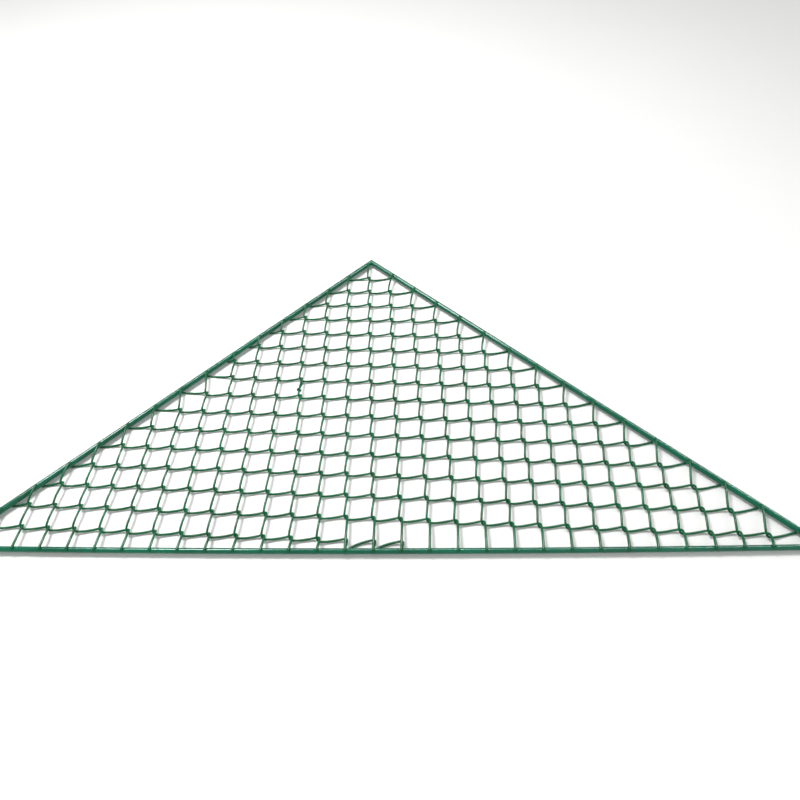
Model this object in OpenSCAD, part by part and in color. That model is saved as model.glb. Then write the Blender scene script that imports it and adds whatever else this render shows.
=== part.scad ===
// Triangular climbing net panel. Three round coated rods are welded into a frame, and
// interlocked zigzag wires (a diamond mesh) fill it. The panel lies flat: the base bar runs
// along X, the corner opposite it points to +Y, and the wire ends under the rods rest on Z = 0.
//
// Each mesh wire is a flattened coil. It runs parallel to the right rod, from the left rod to
// the base bar. Its back runs cross towards the right rod, its front runs cross away from it,
// and each bend hooks through a bend of the next wire. Where a bend would fall on a rod, the
// wire is cut, and both ends are welded to the rod: front runs on top of it, back runs under.

/* [Frame] */
// Length of the base bar, between the corners of the frame's centre lines
frame_w = 1560; // [1000:5:2200]
// Height of the frame's centre lines, from the base bar to the top corner
frame_h = 780; // [500:5:1100]
// Diameter of the two sloping rods
side_rod_d = 11.5; // [8:0.5:16]
// Diameter of the base bar
base_bar_d = 10.5; // [8:0.5:16]
// How far the two lower corners reach past the centre lines' corners
corner_over = 6; // [2:0.5:10]
// Thickness of the weld round each corner joint
weld_t = 0.8; // [0.4:0.1:2]
// Width of the weld round each corner joint
weld_w = 7; // [4:0.5:12]

/* [Mesh] */
// Diameter of the coated mesh wire
wire_d = 4; // [3:0.1:5]
// Length of one full turn of a mesh wire, measured along the wire's axis
turn_l = 70.4; // [56:0.2:90]
// Distance between the axes of two neighbouring mesh wires
wire_gap = 33.4; // [26:0.2:42]
// Spare room between two bends that hook through each other
bend_play = 1.4; // [1:0.1:4]
// Length that a bend takes up along the wire's axis
bend_run = 10; // [6:0.5:14]
// Distance between the middles of the back runs and the front runs
layer_gap = 11; // [9:0.5:15]
// How much less than half a turn each next wire is slid along the right rod
slip = 1.7; // [0:0.1:4]
// Distance from the right rod's axis to where its own row of interlocks would lie
edge_gap = 13; // [6:0.5:20]
// Where the first row of interlocks begins, measured along the right rod from its top
first_row = 2.6; // [0:0.1:70]

/* [Wire ends] */
// How deep a mesh wire's end is let into its rod by the weld
weld_in = 0.2; // [0.1:0.05:0.5]
// How far a mesh wire's end is bent over the base bar, in degrees
hook_turn = 30; // [20:5:120]

/* [Binding wire] */
// Diameter of the binding wire
tie_d = 3.2; // [2:0.1:4]
// Gap between the binding wire and the mesh wire inside it
tie_gap = 0.15; // [0.05:0.05:0.5]
// Number of the mesh wire that the binding wire sits on, counted from the right rod
tie_wire_no = 12; // [3:1:20]
// Distance from the left rod to the bend that the binding wire sits beside
tie_v = 193; // [120:1:400]
// How far the binding wire goes round its mesh wire, in degrees
tie_turn = 300; // [180:5:320]
// Length of the binding wire's loose end
tie_tail = 15; // [8:1:25]

/* [Hidden] */
bead_over = 0.5;            // how far the round corners of a wire stand proud of it
tie_back = 9;               // from the bend's middle back to the binding wire's ring
tie_lift = 38;              // how steeply the loose end stands up
big = 3 * (frame_w + frame_h);

// The frame's plane: "along" runs down the right rod, "inward" is square to it
side_l = norm([frame_w / 2, frame_h]);
along = [frame_w / 2, -frame_h] / side_l;
inward = [-frame_h, -frame_w / 2] / side_l;
left_inward = [frame_h, -frame_w / 2] / side_l;
base_angle = atan2(frame_h, frame_w / 2);
top_corner = [0, frame_h];
left_corner = [-frame_w / 2, 0];
right_corner = [frame_w / 2, 0];

// From a rod's axis to the middle of a wire that is welded on top of it
side_weld_r = side_rod_d / 2 - weld_in + wire_d / 2;
bar_weld_r = base_bar_d / 2 - weld_in + wire_d / 2;
rod_z = max(side_weld_r, bar_weld_r) + wire_d / 2 + bead_over;

// The origin is under the middle of the panel's box
y_low = -base_bar_d / 2 - weld_t;
y_high = frame_h + (side_rod_d / 2 + weld_t) / cos(base_angle);
y_mid = (y_low + y_high) / 2;

// Mesh: rows of interlocks lie parallel to the right rod, and row 0 is the rod's own
bend_reach = wire_d + bend_play;
layer_z = layer_gap / 2;
max_wires = floor(frame_w * frame_h / side_l / wire_gap);
max_bends = 2 * ceil(2 * side_l / turn_l);
side_clear = side_rod_d / 2 + wire_d / 2 + bend_play;
bar_clear = base_bar_d / 2 + wire_d / 2 + bend_play;
cut_clear = bar_clear + side_rod_d / 2 + wire_d / 2;

function spot(q, v) = top_corner + q * inward + v * along;
function lift(p, z) = [p.x, p.y, z];
function from_left(p) = (p - top_corner) * left_inward;
function is_outer(j) = j % 2 != 0;

// Row m's distance from the right rod, and where its first interlock is along the rod
function row_q(m) = edge_gap + m * wire_gap;
function row_v(m) = first_row + m * (turn_l / 2 - slip);

// Bend j of wire n. Odd bends point to the right rod, and wire 1's are cut open on it
function on_rod(n, j) = n == 1 && is_outer(j);
function bend_q(n, j) =
    on_rod(n, j) ? 0
    : is_outer(j) ? row_q(n - 1) - bend_reach / 2
    : row_q(n) + bend_reach / 2;
function bend_v(n, j) = row_v(n) + slip / 2 + j * turn_l / 2;
function bend_run_of(n, j) = on_rod(n, j) ? 0 : bend_run;
function bend_start(n, j) = spot(bend_q(n, j), bend_v(n, j) - bend_run_of(n, j) / 2);
function bend_end(n, j) = spot(bend_q(n, j), bend_v(n, j) + bend_run_of(n, j) / 2);

// Which bends fit between the left rod and the base bar
function clears_side(n, j) = from_left(bend_start(n, j)) >= side_clear;
function clears_bar(n, j) =
    let (y = bend_end(n, j).y)
    on_rod(n, j) ? y >= cut_clear
    : is_outer(j) ? y > 0 && norm([y, layer_z]) >= bar_clear
    : y >= bar_clear;
function first_bend(n) = min([for (j = [-max_bends : max_bends]) if (clears_side(n, j)) j]);
function last_bend(n) =
    max([for (j = [-max_bends : max_bends]) if (is_outer(j) && clears_bar(n, j)) j]);
FIRST = [for (n = [1 : max_wires]) first_bend(n)];
LAST = [for (n = [1 : max_wires]) last_bend(n)];
wire_total = len([for (n = [1 : max_wires]) if (FIRST[n - 1] <= LAST[n - 1]) n]);

// An inner bend that is too near the base bar is cut open on the bar instead
function on_bar(n, j) = !is_outer(j) && !clears_bar(n, j);
function is_cut(n, j) = on_rod(n, j) || on_bar(n, j);
function bend_r(n, j) = on_rod(n, j) ? side_weld_r : on_bar(n, j) ? bar_weld_r : layer_z;
function bar_spot(n, j) = [spot(bend_q(n, j), bend_v(n, j)).x, 0];
function bend_in(n, j) =
    lift(on_bar(n, j) ? bar_spot(n, j) : bend_start(n, j),
         rod_z + (is_outer(j) ? -1 : 1) * bend_r(n, j));
function bend_out(n, j) =
    lift(on_bar(n, j) ? bar_spot(n, j) : bend_end(n, j),
         rod_z + (is_outer(j) ? 1 : -1) * bend_r(n, j));

// Where the first run reaches the left rod, at least a wire's room away from the top corner
function start_point(n) =
    let (j = FIRST[n - 1],
         a = bend_end(n, j - 1),
         b = bend_start(n, j),
         t = from_left(a) / (from_left(a) - from_left(b)),
         p = a + max(t, 0) * (b - a),
         q = max((p - top_corner) * [-frame_w / 2, -frame_h] / side_l, side_clear + wire_d / 2))
    lift(top_corner + q * [-frame_w / 2, -frame_h] / side_l,
         rod_z + (is_outer(j) ? -1 : 1) * side_weld_r);

// Where the last run reaches the base bar
function end_point(n) =
    let (j = LAST[n - 1],
         a = bend_end(n, j),
         b = bend_start(n, j + 1),
         p = a + a.y / (a.y - b.y) * (b - a))
    [p.x, 0, rod_z + bar_weld_r];

// The pieces of each wire, as [wire, cut before its first bend, cut after its last bend,
// number of the piece, how many pieces the wire has]
function cuts(n) =
    concat([FIRST[n - 1] - 1],
           [for (j = [FIRST[n - 1] : LAST[n - 1]]) if (is_cut(n, j)) j],
           [LAST[n - 1] + 1]);
PIECES = [for (n = [1 : wire_total]) let (c = cuts(n))
    for (i = [1 : len(c) - 1]) [n, c[i - 1], c[i], i, len(c) - 1]];

function two_digits(i) = str(i < 10 ? "0" : "", i);
function piece_name(p) =
    str("wire_", two_digits(p[0]), p[4] > 1 ? str("_", two_digits(p[3])) : "");

// A round rod between two points of the frame, longer than needed at both ends
module round_rod(a, b, d) {
    over = 2 * side_rod_d;
    translate([a.x, a.y, rod_z])
        rotate([0, 90, atan2(b.y - a.y, b.x - a.x)])
            translate([0, 0, -over])
                cylinder(d = d, h = norm(b - a) + 2 * over, $fn = 48);
}

// All space to the left of a line through p at an angle
module left_of(p, angle) {
    translate([p.x, p.y, rod_z])
        rotate([0, 0, angle])
            translate([-big / 2, 0, -big / 2])
                cube(big);
}

module within_corners() {
    reach = frame_w / 2 + corner_over;
    translate([-reach, -big / 2, -big / 2])
        cube([2 * reach, big, big]);
}

// The left rod, mitred at the top and lower corners, with some extra on its diameter
module left_rod_shape(extra = 0) {
    intersection() {
        round_rod(left_corner, top_corner, side_rod_d + extra);
        left_of(top_corner, 90);
        left_of(left_corner, base_angle / 2);
        within_corners();
    }
}

module right_rod_shape(extra = 0) {
    mirror([1, 0, 0]) left_rod_shape(extra);
}

module base_bar_shape(extra = 0) {
    intersection() {
        round_rod(left_corner, right_corner, base_bar_d + extra);
        left_of(left_corner, 180 + base_angle / 2);
        left_of(right_corner, 180 - base_angle / 2);
        within_corners();
    }
}

// A weld: a thin band round the joint, split by the mitre plane at an angle
module weld_band(p, angle) {
    difference() {
        intersection() {
            children(0);
            translate([p.x, p.y, rod_z])
                rotate([0, 0, angle])
                    cube([6 * side_rod_d, weld_w, 4 * side_rod_d], center = true);
        }
        children(1);
    }
}

module rod_left() {
    color("seagreen") translate([0, -y_mid, 0]) left_rod_shape();
}

module rod_right() {
    color("seagreen") translate([0, -y_mid, 0]) right_rod_shape();
}

module bar_base() {
    color("seagreen") translate([0, -y_mid, 0]) base_bar_shape();
}

module weld_top() {
    color("darkgreen") translate([0, -y_mid, 0]) weld_band(top_corner, 90) {
        union() {
            left_rod_shape(2 * weld_t);
            right_rod_shape(2 * weld_t);
        }
        union() {
            left_rod_shape();
            right_rod_shape();
        }
    }
}

module weld_left() {
    color("darkgreen") translate([0, -y_mid, 0]) weld_band(left_corner, base_angle / 2) {
        union() {
            left_rod_shape(2 * weld_t);
            base_bar_shape(2 * weld_t);
        }
        union() {
            left_rod_shape();
            base_bar_shape();
        }
    }
}

module weld_right() {
    mirror([1, 0, 0]) weld_left();
}

// A straight run of wire from a to b
module run(a, b, d = wire_d) {
    v = b - a;
    translate(a)
        rotate([0, acos(v.z / norm(v)), atan2(v.y, v.x)])
            cylinder(d = d, h = norm(v), $fn = 24);
}

// A round corner of wire. The sphere's seam is turned to a side where no wire leaves it
module corner(p, seam = 0, d = wire_d) {
    translate(p) rotate([0, 0, seam]) sphere(d = d + 2 * bead_over, $fn = 24);
}

// Middle of the wider side between two directions
function between(a, b) = (a + b) / 2 + (abs(a - b) > 180 ? 0 : 180);

// A wire's end at p on a side rod: a round corner alone. The wire comes to it from q
module side_end(p, q) {
    corner(p, atan2(q.y - p.y, q.x - p.x) + 180);
}

// A wire's end at p on the base bar, bent over it towards the outside
module bar_end(p, q, on_top) {
    corner(p, between(270, atan2(q.y - p.y, q.x - p.x)));
    translate([p.x, p.y, rod_z])
        mirror([0, 0, on_top ? 1 : 0])
            rotate([0, 90, 180])
                rotate_extrude(angle = hook_turn, $fn = 48)
                    translate([bar_weld_r, 0])
                        circle(d = wire_d, $fn = 24);
}

// One piece of a mesh wire
module mesh_wire(piece) {
    n = piece[0];
    before = piece[1];
    after = piece[2];
    starts_wire = before < FIRST[n - 1];
    ends_wire = after > LAST[n - 1];
    bends = [for (j = [before + 1 : 1 : after - 1]) each [bend_in(n, j), bend_out(n, j)]];
    start = starts_wire ? start_point(n) : bend_out(n, before);
    end = ends_wire ? end_point(n) : bend_in(n, after);
    points = concat([start], bends, [end]);
    last = len(points) - 1;
    color("green") translate([0, -y_mid, 0]) {
        if (starts_wire || on_rod(n, before)) side_end(start, points[1]);
        else bar_end(start, points[1], false);
        for (i = [1 : last]) run(points[i - 1], points[i]);
        for (i = [1 : 1 : last - 1]) corner(points[i]);
        if (on_rod(n, after)) side_end(end, points[last - 1]);
        else bar_end(end, points[last - 1], true);
    }
}

// Binding wire: wound round one front run, with a loose end that stands up beside it
module tie_wire() {
    n = tie_wire_no;
    j = 2 * round((tie_v - row_v(n)) / turn_l);
    a = bend_out(n, j - 1);
    b = bend_in(n, j);
    dir = (b - a) / norm(b - a);
    across = atan2(dir.y, dir.x) + 180;
    ring_p = b - tie_back * dir;
    ring_r = wire_d / 2 + tie_gap + tie_d / 2;
    top = ring_p + [0, 0, ring_r];
    tail = [cos(tie_lift) * cos(base_angle), cos(tie_lift) * sin(base_angle), sin(tie_lift)];
    color("limegreen") translate([0, -y_mid, 0]) {
        translate(ring_p)
            mirror([0, 0, 1])
                rotate([0, 90, across])
                    rotate_extrude(angle = tie_turn, $fn = 48)
                        translate([ring_r, 0])
                            circle(d = tie_d, $fn = 24);
        corner(top, -65, tie_d);
        run(top, top + tie_tail * tail, tie_d);
    }
}

rod_left();
rod_right();
bar_base();
weld_top();
weld_left();
weld_right();
for (p = PIECES) mesh_wire(p);
tie_wire();
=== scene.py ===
import math
import random

import bmesh
import bpy
from mathutils import Matrix, Vector


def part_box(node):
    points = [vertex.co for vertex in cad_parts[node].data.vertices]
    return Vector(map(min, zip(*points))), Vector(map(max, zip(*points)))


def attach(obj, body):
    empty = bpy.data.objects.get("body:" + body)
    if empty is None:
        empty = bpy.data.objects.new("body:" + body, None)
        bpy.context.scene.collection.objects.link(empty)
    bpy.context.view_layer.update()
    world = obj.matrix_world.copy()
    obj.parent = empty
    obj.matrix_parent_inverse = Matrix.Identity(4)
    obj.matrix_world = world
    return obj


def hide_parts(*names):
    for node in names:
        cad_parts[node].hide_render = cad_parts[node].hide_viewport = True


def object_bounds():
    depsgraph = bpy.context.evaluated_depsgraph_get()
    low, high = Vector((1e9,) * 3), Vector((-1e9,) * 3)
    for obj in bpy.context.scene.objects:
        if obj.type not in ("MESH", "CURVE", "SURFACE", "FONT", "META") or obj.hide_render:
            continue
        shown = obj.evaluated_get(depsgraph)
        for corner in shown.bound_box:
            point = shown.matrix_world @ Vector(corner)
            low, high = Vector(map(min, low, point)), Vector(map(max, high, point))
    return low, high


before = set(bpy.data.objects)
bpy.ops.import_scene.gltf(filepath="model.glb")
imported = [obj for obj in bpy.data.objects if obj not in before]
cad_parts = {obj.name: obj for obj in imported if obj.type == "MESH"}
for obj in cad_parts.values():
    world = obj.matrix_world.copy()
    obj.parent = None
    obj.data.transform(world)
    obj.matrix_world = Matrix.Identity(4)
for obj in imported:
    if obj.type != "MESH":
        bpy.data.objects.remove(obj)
cadLow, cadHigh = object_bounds()
print("frame loaded,", len(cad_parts), "nodes")

# where the three rods' centre lines are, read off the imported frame
frameShape = {
    "sideRodDiameter": 0.0115,
    "baseBarDiameter": 0.0105,
    "cornerOver": 0.006,  # how far the lower corners reach past the centre lines' corners
}
barLow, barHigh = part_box("bar_base")
halfWidth = barHigh.x - frameShape["cornerOver"]
barY = (barLow.y + barHigh.y) / 2
rodZ = (barLow.z + barHigh.z) / 2
sideR = frameShape["sideRodDiameter"] / 2
barR = frameShape["baseBarDiameter"] / 2
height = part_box("rod_left")[1].y - barY
for again in range(4):
    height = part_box("rod_left")[1].y - barY - sideR / math.cos(math.atan2(height, halfWidth))
apex = Vector((0, barY + height, rodZ))
leftCorner = Vector((-halfWidth, barY, rodZ))
rightCorner = Vector((halfWidth, barY, rodZ))
along = (rightCorner - apex).normalized()  # down the right rod
inward = Vector((along.y, -along.x, 0))  # from the right rod into the mesh
leftDown = (leftCorner - apex).normalized()
leftInward = Vector((-leftDown.y, leftDown.x, 0))
sideLength = (rightCorner - apex).length
up = Vector((0, 0, 1))

# camera first: hand-held, above and in front of the base bar
shot = {
    "fromBar": (-0.0222, -0.5644, 1.1072),  # camera from the middle of the base bar
    "turn": -2.49,  # degrees right of straight ahead
    "down": 50.79,
    "roll": -2.36,
    "lens": 30.8,
    "shiftX": 0.069,
}


def makeCamera():
    data = bpy.data.cameras.new("viewCamera")
    data.lens = shot["lens"]
    data.sensor_width = 36
    data.shift_x = shot["shiftX"]
    data.clip_start = 0.02
    data.clip_end = 50
    camera = bpy.data.objects.new("viewCamera", data)
    bpy.context.scene.collection.objects.link(camera)
    turn, down, roll = (math.radians(shot[k]) for k in ("turn", "down", "roll"))
    ahead = Vector((math.sin(turn) * math.cos(down), math.cos(turn) * math.cos(down), -math.sin(down)))
    level = Vector((math.cos(turn), -math.sin(turn), 0))
    right = level * math.cos(roll) + level.cross(ahead) * math.sin(roll)
    head = right.cross(ahead)
    axes = Matrix((right, head, -ahead)).transposed()
    place = Vector((0, barY, rodZ)) + Vector(shot["fromBar"])
    camera.matrix_world = Matrix.Translation(place) @ axes.to_4x4()
    bpy.context.scene.camera = camera


makeCamera()
print("camera set")

coating = {
    "rodGreen": (0.0, 0.132, 0.070),
    "rodDeep": (0.0, 0.090, 0.046),
    "wireGreen": (0.0, 0.125, 0.046),
    "wireDeep": (0.0, 0.080, 0.022),
    "scuff": (0.01, 0.22, 0.11),  # where the coating is rubbed matt
    "dust": (0.10, 0.14, 0.08),
    "specular": 0.14,
}


def shade(tree, kind, **values):
    node = tree.nodes.new(kind)
    for key, value in values.items():
        if hasattr(node, key):
            setattr(node, key, value)
        else:
            node.inputs[key].default_value = value
    return node


def noise(tree, coords, scale, detail=3, roughness=0.55):
    node = shade(tree, "ShaderNodeTexNoise")
    node.inputs["Scale"].default_value = scale
    node.inputs["Detail"].default_value = detail
    node.inputs["Roughness"].default_value = roughness
    tree.links.new(coords, node.inputs["Vector"])
    return node.outputs["Fac"]


def spread(tree, value, fromLow, fromHigh, toLow=0.0, toHigh=1.0):
    node = shade(tree, "ShaderNodeMapRange")
    node.inputs["From Min"].default_value = fromLow
    node.inputs["From Max"].default_value = fromHigh
    node.inputs["To Min"].default_value = toLow
    node.inputs["To Max"].default_value = toHigh
    tree.links.new(value, node.inputs["Value"])
    return node.outputs["Result"]


def blendColours(tree, amount, first, second):
    node = shade(tree, "ShaderNodeMix", data_type="RGBA")
    tree.links.new(amount, node.inputs[0])
    for socket, colour in ((node.inputs[6], first), (node.inputs[7], second)):
        if isinstance(colour, tuple):
            socket.default_value = (*colour, 1)
        else:
            tree.links.new(colour, socket)
    return node.outputs[2]


def coatedGreen(name, bright, deep, gloss, coat, lumps, scuffs, grain):
    material = bpy.data.materials.new(name)
    material.use_nodes = True
    tree = material.node_tree
    shader = tree.nodes["Principled BSDF"]
    coords = shade(tree, "ShaderNodeTexCoord").outputs["Object"]
    broad = spread(tree, noise(tree, coords, 9, 2), 0.3, 0.7)
    colour = blendColours(tree, broad, bright, deep)
    # the coating is thinner in places, which shows as fine lighter flecks
    fleck = spread(tree, noise(tree, coords, 420, 2), 0.58, 0.74, 0, 0.25)
    colour = blendColours(tree, fleck, colour, coating["scuff"])
    rub = spread(tree, noise(tree, coords, 55, 4, 0.7), 1 - scuffs, 1 - scuffs + 0.1, 0, 0.45)
    colour = blendColours(tree, rub, colour, coating["scuff"])
    dust = spread(tree, noise(tree, coords, 23, 5, 0.65), 0.62, 0.8, 0, 0.1)
    colour = blendColours(tree, dust, colour, coating["dust"])
    tree.links.new(colour, shader.inputs["Base Color"])
    sheen = spread(tree, noise(tree, coords, 38, 4), 0.3, 0.72, gloss - 0.07, gloss + 0.12)
    both = shade(tree, "ShaderNodeMath", operation="ADD")
    tree.links.new(sheen, both.inputs[0])
    tree.links.new(spread(tree, rub, 0, 0.6, 0, 0.25), both.inputs[1])
    tree.links.new(both.outputs[0], shader.inputs["Roughness"])
    shader.inputs["Coat Weight"].default_value = coat
    shader.inputs["Coat Roughness"].default_value = 0.1
    shader.inputs["Specular IOR Level"].default_value = coating["specular"]
    # slow waves where the coating ran, and a fine orange-peel skin
    waves = shade(tree, "ShaderNodeBump")
    waves.inputs["Strength"].default_value = 0.5
    waves.inputs["Distance"].default_value = lumps
    tree.links.new(noise(tree, coords, 120, 2), waves.inputs["Height"])
    skin = shade(tree, "ShaderNodeBump")
    skin.inputs["Strength"].default_value = 0.35
    skin.inputs["Distance"].default_value = grain
    tree.links.new(noise(tree, coords, 1100, 2), skin.inputs["Height"])
    tree.links.new(waves.outputs["Normal"], skin.inputs["Normal"])
    tree.links.new(skin.outputs["Normal"], shader.inputs["Normal"])
    return material


# name, two greens, roughness, clear coat, height of the lumps, share of scuffs, height of the grain
rodCoat = coatedGreen("rodCoat", coating["rodGreen"], coating["rodDeep"],
                      0.16, 0.4, 0.0004, 0.33, 0.00004)
weldCoat = coatedGreen("weldCoat", coating["rodGreen"], coating["rodDeep"],
                       0.3, 0.3, 0.0016, 0.36, 0.0001)
wireCoat = coatedGreen("wireCoat", coating["wireGreen"], coating["wireDeep"],
                       0.34, 0.12, 0.0004, 0.36, 0.00008)
tieCoat = coatedGreen("tieCoat", coating["wireGreen"], coating["rodDeep"],
                      0.26, 0.4, 0.0006, 0.4, 0.00008)


def finishPiece(piece, material, slot, *nodes):
    piece.data.materials.clear()
    piece.data.materials.append(material)
    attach(piece, "root")
    if nodes:
        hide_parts(*nodes)


def meshPiece(name, bm, sharp=50):
    bmesh.ops.remove_doubles(bm, verts=bm.verts, dist=2e-6)
    bmesh.ops.recalc_face_normals(bm, faces=bm.faces)
    mesh = bpy.data.meshes.new(name)
    bm.to_mesh(mesh)
    bm.free()
    for face in mesh.polygons:
        face.use_smooth = True
    mesh.set_sharp_from_angle(angle=math.radians(sharp))
    piece = bpy.data.objects.new(name, mesh)
    bpy.context.scene.collection.objects.link(piece)
    return piece


# the frame's rods: round bars cut to their mitres, a little uneven where the coating ran
rods = {
    "sides": 40,
    "ringEvery": 0.012,
    "spareLength": 3,  # length beyond each mitre before it is cut, in radii
    "barBow": 0.007,  # the part's bar is straight, and this one is bent outwards by this much
}


def makeRod(name, start, end, radius, cuts):
    length = (end - start).length
    bm = bmesh.new()
    bmesh.ops.create_circle(bm, cap_ends=False, segments=rods["sides"], radius=radius)
    over = rods["spareLength"] * radius
    rings = round((length + 2 * over) / rods["ringEvery"])
    step = Vector((0, 0, (length + 2 * over) / rings))
    edges = bm.edges[:]
    for ring in range(rings):
        grown = bmesh.ops.extrude_edge_only(bm, edges=edges)["geom"]
        edges = [e for e in grown if isinstance(e, bmesh.types.BMEdge)]
        raised = [v for v in grown if isinstance(v, bmesh.types.BMVert)]
        bmesh.ops.translate(bm, vec=step, verts=raised)
    bmesh.ops.translate(bm, vec=(0, 0, -over), verts=bm.verts)
    turn = (end - start).to_track_quat("Z", "Y").to_matrix()
    bmesh.ops.rotate(bm, matrix=turn, verts=bm.verts)
    bmesh.ops.translate(bm, vec=start, verts=bm.verts)
    for point, normal in cuts:
        bmesh.ops.bisect_plane(bm, geom=bm.verts[:] + bm.edges[:] + bm.faces[:], dist=1e-7,
                               plane_co=point, plane_no=normal, clear_outer=True)
        rim = [e for e in bm.edges if e.is_boundary
               and all(abs((v.co - point).dot(normal)) < 1e-5 for v in e.verts)]
        bmesh.ops.edgenet_fill(bm, edges=rim)
    bmesh.ops.recalc_face_normals(bm, faces=bm.faces)
    return bm


def bow(x):
    return rods["barBow"] * (1 - min(1, abs(x) / halfWidth) ** 2)


def mitre(corner, first, second):
    # plane that splits the corner between two rods, facing away from the first
    return corner, (second.normalized() - first.normalized()).normalized()


toLeft = leftCorner - apex
toRight = rightCorner - apex
acrossBar = rightCorner - leftCorner
endOver = halfWidth + frameShape["cornerOver"]
leftEnd = (Vector((-endOver, barY, rodZ)), Vector((-1, 0, 0)))
rightEnd = (Vector((endOver, barY, rodZ)), Vector((1, 0, 0)))
rodPieces = (
    ("rod_left", apex, leftCorner, sideR,
     [mitre(apex, toLeft, toRight), mitre(leftCorner, -toLeft, acrossBar), leftEnd]),
    ("rod_right", apex, rightCorner, sideR,
     [mitre(apex, toRight, toLeft), mitre(rightCorner, -toRight, -acrossBar), rightEnd]),
    ("bar_base", leftCorner, rightCorner, barR,
     [mitre(leftCorner, acrossBar, -toLeft), mitre(rightCorner, -acrossBar, -toRight), leftEnd, rightEnd]),
)
for node, start, end, radius, cuts in rodPieces:
    bm = makeRod(node, start, end, radius, cuts)
    if node == "bar_base":
        for v in bm.verts:
            v.co.y -= bow(v.co.x)
    piece = meshPiece(node + "_coated", bm)
    finishPiece(piece, rodCoat, "rod_coating", node)
print("rods made")


# a wire is a smooth curve through knots: (point, direction, handle back, handle forth, thickness)
def curveMesh(name, knots, wireRadius, steps=6, roundness=4, cyclic=False):
    data = bpy.data.curves.new(name, "CURVE")
    data.dimensions = "3D"
    data.resolution_u = steps
    data.bevel_depth = wireRadius
    data.bevel_resolution = roundness
    data.use_fill_caps = not cyclic
    line = data.splines.new("BEZIER")
    line.use_cyclic_u = cyclic
    line.bezier_points.add(len(knots) - 1)
    for place, (point, direction, back, forth, thickness) in zip(line.bezier_points, knots):
        place.handle_left_type = place.handle_right_type = "FREE"
        place.co = point
        place.handle_left = point - direction.normalized() * back
        place.handle_right = point + direction.normalized() * forth
        place.radius = thickness
    holder = bpy.data.objects.new(name, data)
    bpy.context.scene.collection.objects.link(holder)
    bpy.context.view_layer.update()
    mesh = bpy.data.meshes.new_from_object(holder.evaluated_get(bpy.context.evaluated_depsgraph_get()))
    bpy.data.objects.remove(holder)
    bm = bmesh.new()
    bm.from_mesh(mesh)
    bpy.data.meshes.remove(mesh)
    bpy.data.curves.remove(data)
    return bm


# the mesh: flattened coils hooked through each other, with the part's own sizes
weave = {
    "wireDiameter": 0.004,
    "drawnThickness": 1.06,  # drawn thickness of a wire, as a share of the part's
    "turnLength": 0.0704,
    "wireGap": 0.0334,
    "bendPlay": 0.0014,
    "bendRun": 0.010,
    "layerGap": 0.011,
    "slip": 0.0017,
    "edgeGap": 0.013,
    "firstRow": 0.0026,
    "weldIn": 0.0002,
    "hookTurn": 30,
    "lowHookTurn": 4,
    "sidePast": -0.0012,  # how far an end on a side rod passes the rod's axis
    "tighten": 0.00045,  # how much closer the bends sit than the part's straight ones
    "tipRadius": 0.0039,  # bends, seen along the wire's axis
    "midHeight": 0.0068,  # how far the middle of a run bows out of the frame's plane
    "runPull": 0.28,  # share of a run's length that its bends' directions reach into it
    "scatter": 0.0004,  # how far the interlocks stray from their rows
    "scatterUp": 0.7,  # and up or down, as a share of that
    "endSwell": 1.18,  # coating gathered at a welded end
    "rings": 6,
    "seed": 41,
}
wireR = weave["wireDiameter"] / 2
turnL = weave["turnLength"]
reach = weave["wireDiameter"] + weave["bendPlay"]
halfCoil = (weave["wireGap"] + reach) / 2 - weave["tighten"]
sideWeldR = sideR - weave["weldIn"] + wireR
barWeldR = barR - weave["weldIn"] + wireR
sideClear = sideR + wireR + weave["bendPlay"]
barClear = barR + wireR + weave["bendPlay"]
cutClear = barClear + sideR + wireR
maxBends = 2 * math.ceil(2 * sideLength / turnL)
maxWires = int(2 * halfWidth * height / sideLength / weave["wireGap"])
tipR = weave["tipRadius"]
runR = ((halfCoil - tipR) ** 2 + weave["midHeight"] ** 2 - tipR ** 2) / (2 * (weave["midHeight"] - tipR))
# a bend stops short of a half circle by this much each side
lean = math.asin((halfCoil - tipR) / (runR - tipR))
halfBend = math.pi / 2 - lean
# how fast a bend moves along the wire's axis: as the runs do at its ends, faster at its tip
runSlope = (turnL / 2 - weave["bendRun"]) / (2 * runR * math.asin((halfCoil - tipR) / runR)) * tipR
midSlope = weave["bendRun"] / 2 - runSlope * halfBend


def rowQ(row):
    return weave["edgeGap"] + row * weave["wireGap"]


def rowV(row):
    return weave["firstRow"] + row * (turnL / 2 - weave["slip"])


def spot(q, v):
    return apex + inward * q + along * v


def isOuter(j):
    return j % 2 != 0


def onRod(n, j):
    return n == 1 and isOuter(j)


def bendQ(n, j):
    if onRod(n, j):
        return 0
    return rowQ(n - 1) - reach / 2 if isOuter(j) else rowQ(n) + reach / 2


def bendV(n, j):
    return rowV(n) + weave["slip"] / 2 + j * turnL / 2


def bendEdge(n, j, side):
    return spot(bendQ(n, j), bendV(n, j) + (0 if onRod(n, j) else side * weave["bendRun"] / 2))


def fromLeft(point):
    return (point - apex).dot(leftInward)


def clearsBar(n, j):
    y = bendEdge(n, j, 1).y - barY
    if onRod(n, j):
        return y >= cutClear
    if isOuter(j):
        return y > 0 and math.hypot(y, weave["layerGap"] / 2) >= barClear
    return y >= barClear


def firstBend(n):
    return min(j for j in range(-maxBends, maxBends + 1) if fromLeft(bendEdge(n, j, -1)) >= sideClear)


def lastBend(n):
    return max(j for j in range(-maxBends, maxBends + 1) if isOuter(j) and clearsBar(n, j))


def onBar(n, j):
    return not isOuter(j) and not clearsBar(n, j)


# each interlock strays a little, and both of its bends stray with it
def strayed(n, j):
    row = n - 1 if isOuter(j) else n
    place = j + 1 if isOuter(j) else j
    chance = random.Random(weave["seed"] + 1000 * row + place)
    far = weave["scatter"]
    sideways = inward * chance.uniform(-far, far) + along * chance.uniform(-far, far)
    return sideways + up * chance.uniform(-far, far) * weave["scatterUp"]


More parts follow.
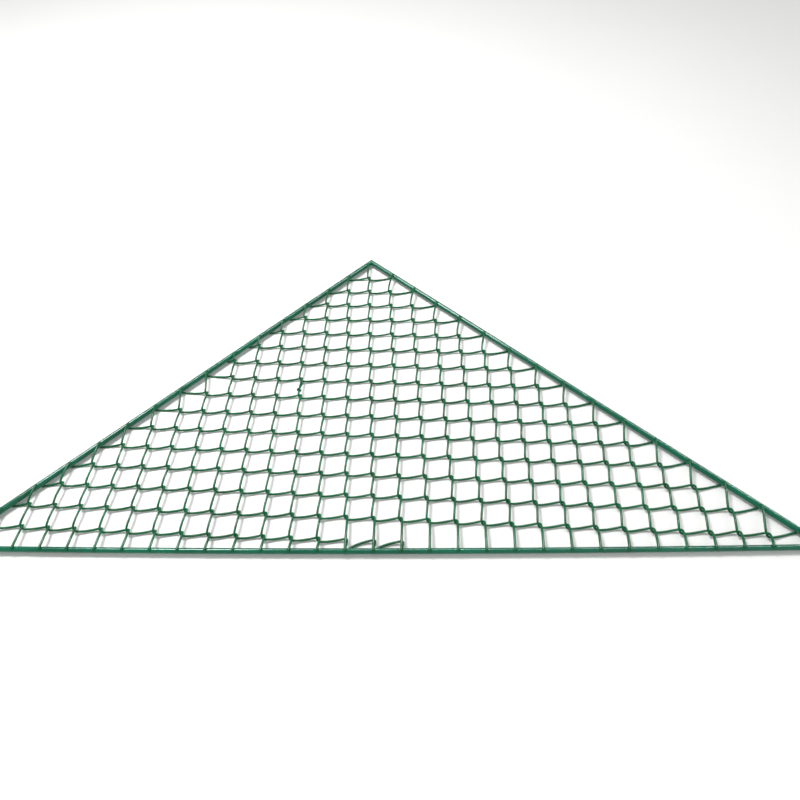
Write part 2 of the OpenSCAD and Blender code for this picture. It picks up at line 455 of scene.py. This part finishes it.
# a bend, as three knots round its tip
def bendKnots(n, j):
    side = 1 if isOuter(j) else -1
    knots = []
    for angle in (-halfBend, 0, halfBend):
        u = side * (halfCoil - tipR + tipR * math.cos(angle))
        q = rowQ(n - 0.5) - u
        v = bendV(n, j) + runSlope * angle + midSlope * math.sin(angle * math.pi / (2 * halfBend))
        point = spot(q, v) + up * side * tipR * math.sin(angle) + strayed(n, j)
        drift = runSlope + midSlope * math.pi / (2 * halfBend) * math.cos(angle * math.pi / (2 * halfBend))
        speed = inward * side * tipR * math.sin(angle) + along * drift + up * side * tipR * math.cos(angle)
        pull = 4 / 3 * math.tan(halfBend / 4) * speed.length
        knots.append([point, speed, pull, pull, 1.0])
    return knots


# an end bent over the base bar, from the point on top of the bar (or under it) to the cut
def barKnots(axisPoint, heading, radius, side):
    slide = max(-0.5, min(0.5, heading.dot(barAxis)))
    hook = weave["hookTurn"] if side > 0 else weave["lowHookTurn"]
    knots = []
    for turn in (0, hook / 2, hook):
        t = math.radians(turn)
        radius -= 0.0007 * turn / hook
        point = (axisPoint + outBar * radius * math.sin(t) + up * side * radius * math.cos(t)
                 + barAxis * slide * radius * t)
        speed = outBar * radius * math.cos(t) - up * side * radius * math.sin(t) + barAxis * slide * radius
        pull = 4 / 3 * math.tan(math.radians(hook) / 8) * speed.length
        knots.append([point, speed, pull, pull, weave["endSwell"]])
    return knots + roundedCut(knots[-1])


# an end that sinks into the weld on top of a side rod (or under it)
def sideKnots(axisPoint, heading, radius, side):
    past = weave["sidePast"]
    knots = []
    for back, sunk, tilt, swell in ((0.005, 0, 0.1, 1.0), (0.002, 0.0006, 0.3, 1.15), (0, 0.0018, 0.8, 1.2)):
        point = axisPoint - heading * (back - past) + up * side * (radius - sunk)
        knots.append([point, heading - up * side * tilt, 0.001, 0.0009, swell])
    return knots + roundedCut(knots[-1])


def roundedCut(last):
    point, direction, back, forth, swell = last
    last[3] = wireR * 0.1
    return [[point + direction.normalized() * wireR * 0.35, direction, wireR * 0.1, wireR * 0.1, swell * 0.7]]


def leftSpot(n):
    j = firstBend(n)
    a = bendEdge(n, j - 1, 1)
    b = bendEdge(n, j, -1)
    t = fromLeft(a) / (fromLeft(a) - fromLeft(b))
    point = a + (b - a) * max(t, 0)
    return apex + leftDown * max((point - apex).dot(leftDown), sideClear + wireR)


def barSpot(n, j):
    if onBar(n, j):
        x = spot(bendQ(n, j), bendV(n, j)).x
        return Vector((x, barY - bow(x), rodZ))
    a = bendEdge(n, j - 1, 1)
    b = bendEdge(n, j, -1)
    point = a + (b - a) * ((a.y - barY) / (a.y - b.y))
    return point + (b - a) * (bow(point.x) / (a.y - b.y))


outBar = Vector((0, -1, 0))
barAxis = Vector((1, 0, 0))


def flatHeading(start, end):
    return Vector((end.x - start.x, end.y - start.y, 0)).normalized()


def startKnots(n, before, nextPoint):
    if before < firstBend(n):
        place = leftSpot(n)
        side = -1 if isOuter(firstBend(n)) else 1
        knots = sideKnots(place, flatHeading(nextPoint, place), sideWeldR, side)
    elif onRod(n, before):
        place = spot(0, bendV(n, before))
        knots = sideKnots(place, flatHeading(nextPoint, place), sideWeldR, 1)
    else:
        place = barSpot(n, before)
        knots = barKnots(place, flatHeading(nextPoint, place), barWeldR, -1)
    knots.reverse()
    return [[p, -d, forth, back, thick] for p, d, back, forth, thick in knots]


def finishKnots(n, after, lastPoint):
    if onRod(n, after):
        place = spot(0, bendV(n, after))
        return sideKnots(place, flatHeading(lastPoint, place), sideWeldR, -1)
    place = barSpot(n, after)
    return barKnots(place, flatHeading(lastPoint, place), barWeldR, 1)


def wireKnots(n, before, after):
    middle = [k for j in range(before + 1, after) for k in bendKnots(n, j)]
    firstPoint = middle[0][0] if middle else barSpot(n, after)
    knots = startKnots(n, before, firstPoint)
    runStart = len(knots) - 1
    knots += middle
    knots += finishKnots(n, after, knots[-1][0])
    # runs between two bends, or between a bend and a rod, take long handles
    for i in range(runStart, runStart + len(middle) + 1, 3):
        span = (knots[i + 1][0] - knots[i][0]).length * weave["runPull"]
        knots[i][3] = span
        knots[i + 1][2] = span
    return knots


pieceCount = 0
n = 1
while n <= maxWires and firstBend(n) <= lastBend(n):
    first, last = firstBend(n), lastBend(n)
    cuts = [first - 1] + [j for j in range(first, last + 1) if onRod(n, j) or onBar(n, j)] + [last + 1]
    for i in range(1, len(cuts)):
        node = f"wire_{n:02d}" + (f"_{i:02d}" if len(cuts) > 2 else "")
        knots = wireKnots(n, cuts[i - 1], cuts[i])
        bm = curveMesh(node, knots, wireR * weave["drawnThickness"], weave["rings"])
        piece = meshPiece(node + "_coated", bm)
        finishPiece(piece, wireCoat, "wire_coating", node)
        pieceCount += 1
    n += 1
print("mesh wires made:", pieceCount)

# welds: an uneven bead round each mitred corner
welds = {
    "beadRadius": 0.0014,
    "proud": -0.0002,
    "sunk": 0.55,  # how much of the bead's radius is in the rod
    "knots": 22,
    "wander": 0.0003,
    "thinnest": 0.85,
    "thickest": 1.1,
    "endInset": 1.15,  # in bead radii, from the squared-off corners
    "seed": 7,
}


def makeWeld(node, corner, normal, radius, leanAngle):
    chance = random.Random(welds["seed"] + len(node))
    side = normal.cross(up).normalized()
    wide = radius + welds["proud"] - welds["beadRadius"] * welds["sunk"]
    limit = endOver - welds["beadRadius"] * welds["endInset"]
    knots = []
    count = welds["knots"]
    for i in range(count):
        t = 2 * math.pi * i / count
        point = corner + side * wide / math.sin(leanAngle) * math.cos(t) + up * wide * math.sin(t)
        direction = -side * wide / math.sin(leanAngle) * math.sin(t) + up * wide * math.cos(t)
        pull = 4 / 3 * math.tan(2 * math.pi / count / 4) * direction.length
        point += normal * chance.uniform(-welds["wander"], welds["wander"])
        point.x = max(-limit, min(limit, point.x))
        knots.append([point, direction, pull, pull, chance.uniform(welds["thinnest"], welds["thickest"])])
    bm = curveMesh(node, knots, welds["beadRadius"], 4, 4, cyclic=True)
    piece = meshPiece(node + "_bead", bm)
    finishPiece(piece, weldCoat, "weld_coating", node)


apexHalf = math.atan2(halfWidth, height)
lowHalf = math.atan2(height, halfWidth) / 2
makeWeld("weld_top", apex, Vector((1, 0, 0)), sideR, apexHalf)
makeWeld("weld_left", leftCorner, mitre(leftCorner, -toLeft, acrossBar)[1], sideR, lowHalf)
makeWeld("weld_right", rightCorner, mitre(rightCorner, -toRight, -acrossBar)[1], sideR, lowHalf)
print("welds made")

# binding wire: wound round one front run, with a loose end
tie = {
    "diameter": 0.0032,
    "gap": 0.00015,
    "wireNumber": 12,
    "fromLeft": 0.193,
    "backFromBend": 0.009,
    "turn": 300,
    "tail": 0.015,
    "tailRise": 38,
}


def makeTie():
    n = tie["wireNumber"]
    j = 2 * round((tie["fromLeft"] - rowV(n)) / turnL)
    run = [bendKnots(n, j - 1)[-1][0], bendKnots(n, j)[0][0]]
    lie = (run[1] - run[0]).normalized()
    flat = Vector((lie.x, lie.y, 0)).normalized()
    rightward = Vector((-flat.y, flat.x, 0))
    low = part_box("tie_wire")[0]
    ringR = wireR + tie["gap"] + tie["diameter"] / 2
    centre = run[1] - lie * tie["backFromBend"]
    centre.z = low.z + tie["diameter"] / 2 + ringR
    baseAngle = math.atan2(height, halfWidth)
    rise = math.radians(tie["tailRise"])
    tail = Vector((math.cos(rise) * math.cos(baseAngle), math.cos(rise) * math.sin(baseAngle),
                   math.sin(rise)))
    knots = []
    parts = 8
    step = math.radians(tie["turn"]) / parts
    pull = 4 / 3 * math.tan(step / 4) * ringR
    for i in range(parts, -1, -1):
        t = i * step
        point = centre - rightward * ringR * math.sin(t) + up * ringR * math.cos(t)
        direction = rightward * math.cos(t) + up * math.sin(t)
        point += flat * (0.0012 * t / step / parts)
        knots.append([point, direction, pull, pull, 1.0])
    start = knots[0]
    knots.insert(0, [start[0] - start[1] * 0.0006, start[1], 0.0002, 0.0002, 0.75])
    top = centre + up * ringR
    knots[-1][3] = 0.0022
    knots.append([top + tail * 0.006 + rightward * 0.0006, tail, 0.0022, 0.003, 1.0])
    end = top + tail * (tie["tail"] - 0.0006)
    knots.append([end, tail, 0.003, 0.0002, 0.95])
    knots.append([end + tail * 0.0006, tail, 0.0002, 0.0002, 0.6])
    bm = curveMesh("tie_wire", knots, tie["diameter"] / 2, 5, 4)
    piece = meshPiece("tie_wire_coated", bm)
    finishPiece(piece, tieCoat, "tie_coating", "tie_wire")


makeTie()
print("binding wire made")

studio = {
    "floorColour": (0.86, 0.86, 0.85),
    "floorSize": 14,
    "cloudScale": 2.5,
    "cloudShade": 0.985,
    "world": 0.55,
    "keyPower": 74,
    "keySize": 0.8,
    "keyFrom": (-1.0, 0.7, 2.5),
    "fillPower": 10,
    "fillSize": 2.5,
    "fillFrom": (1.6, -1.8, 1.8),
    "stripPower": 300,  # long and narrow, seen only in reflections along the rods
    "stripSize": (6.0, 0.22),
    "stripFrom": (0.7, 1.5, 3.3),
}


def makeStudio():
    bm = bmesh.new()
    bmesh.ops.create_grid(bm, x_segments=1, y_segments=1, size=studio["floorSize"] / 2)
    bmesh.ops.translate(bm, vec=(0, 0, cadLow.z), verts=bm.verts)
    floor = meshPiece("floor", bm)
    material = bpy.data.materials.new("paleFloor")
    material.use_nodes = True
    tree = material.node_tree
    shader = tree.nodes["Principled BSDF"]
    coords = shade(tree, "ShaderNodeTexCoord").outputs["Object"]
    pale = studio["floorColour"]
    cloudy = spread(tree, noise(tree, coords, studio["cloudScale"], 3), 0.3, 0.7)
    colour = blendColours(tree, cloudy, pale, tuple(c * studio["cloudShade"] for c in pale))
    tree.links.new(colour, shader.inputs["Base Color"])
    shader.inputs["Roughness"].default_value = 0.7
    floor.data.materials.append(material)
    world = bpy.data.worlds.new("softRoom")
    world.use_nodes = True
    world.node_tree.nodes["Background"].inputs["Color"].default_value = (1, 1, 1, 1)
    world.node_tree.nodes["Background"].inputs["Strength"].default_value = studio["world"]
    bpy.context.scene.world = world
    middle = (cadLow + cadHigh) / 2
    for name, power, size, wide, place in (
        ("keyLight", studio["keyPower"], studio["keySize"], studio["keySize"], studio["keyFrom"]),
        ("fillLight", studio["fillPower"], studio["fillSize"], studio["fillSize"], studio["fillFrom"]),
        ("stripLight", studio["stripPower"], *studio["stripSize"], studio["stripFrom"]),
    ):
        place = Vector(place)
        data = bpy.data.lights.new(name, "AREA")
        data.energy = power
        data.shape = "RECTANGLE"
        data.size = size
        data.size_y = wide
        light = bpy.data.objects.new(name, data)
        light.visible_diffuse = name != "stripLight"
        light.location = place
        light.rotation_mode = "QUATERNION"
        # the strip faces straight back along Y, so that it stays level
        aim = Vector((place.x * 0.999, middle.y, 0)) if name == "stripLight" else middle
        light.rotation_quaternion = (aim - place).to_track_quat("-Z", "Y")
        bpy.context.scene.collection.objects.link(light)


makeStudio()
bpy.context.scene.view_settings.view_transform = "Standard"
print("studio made")
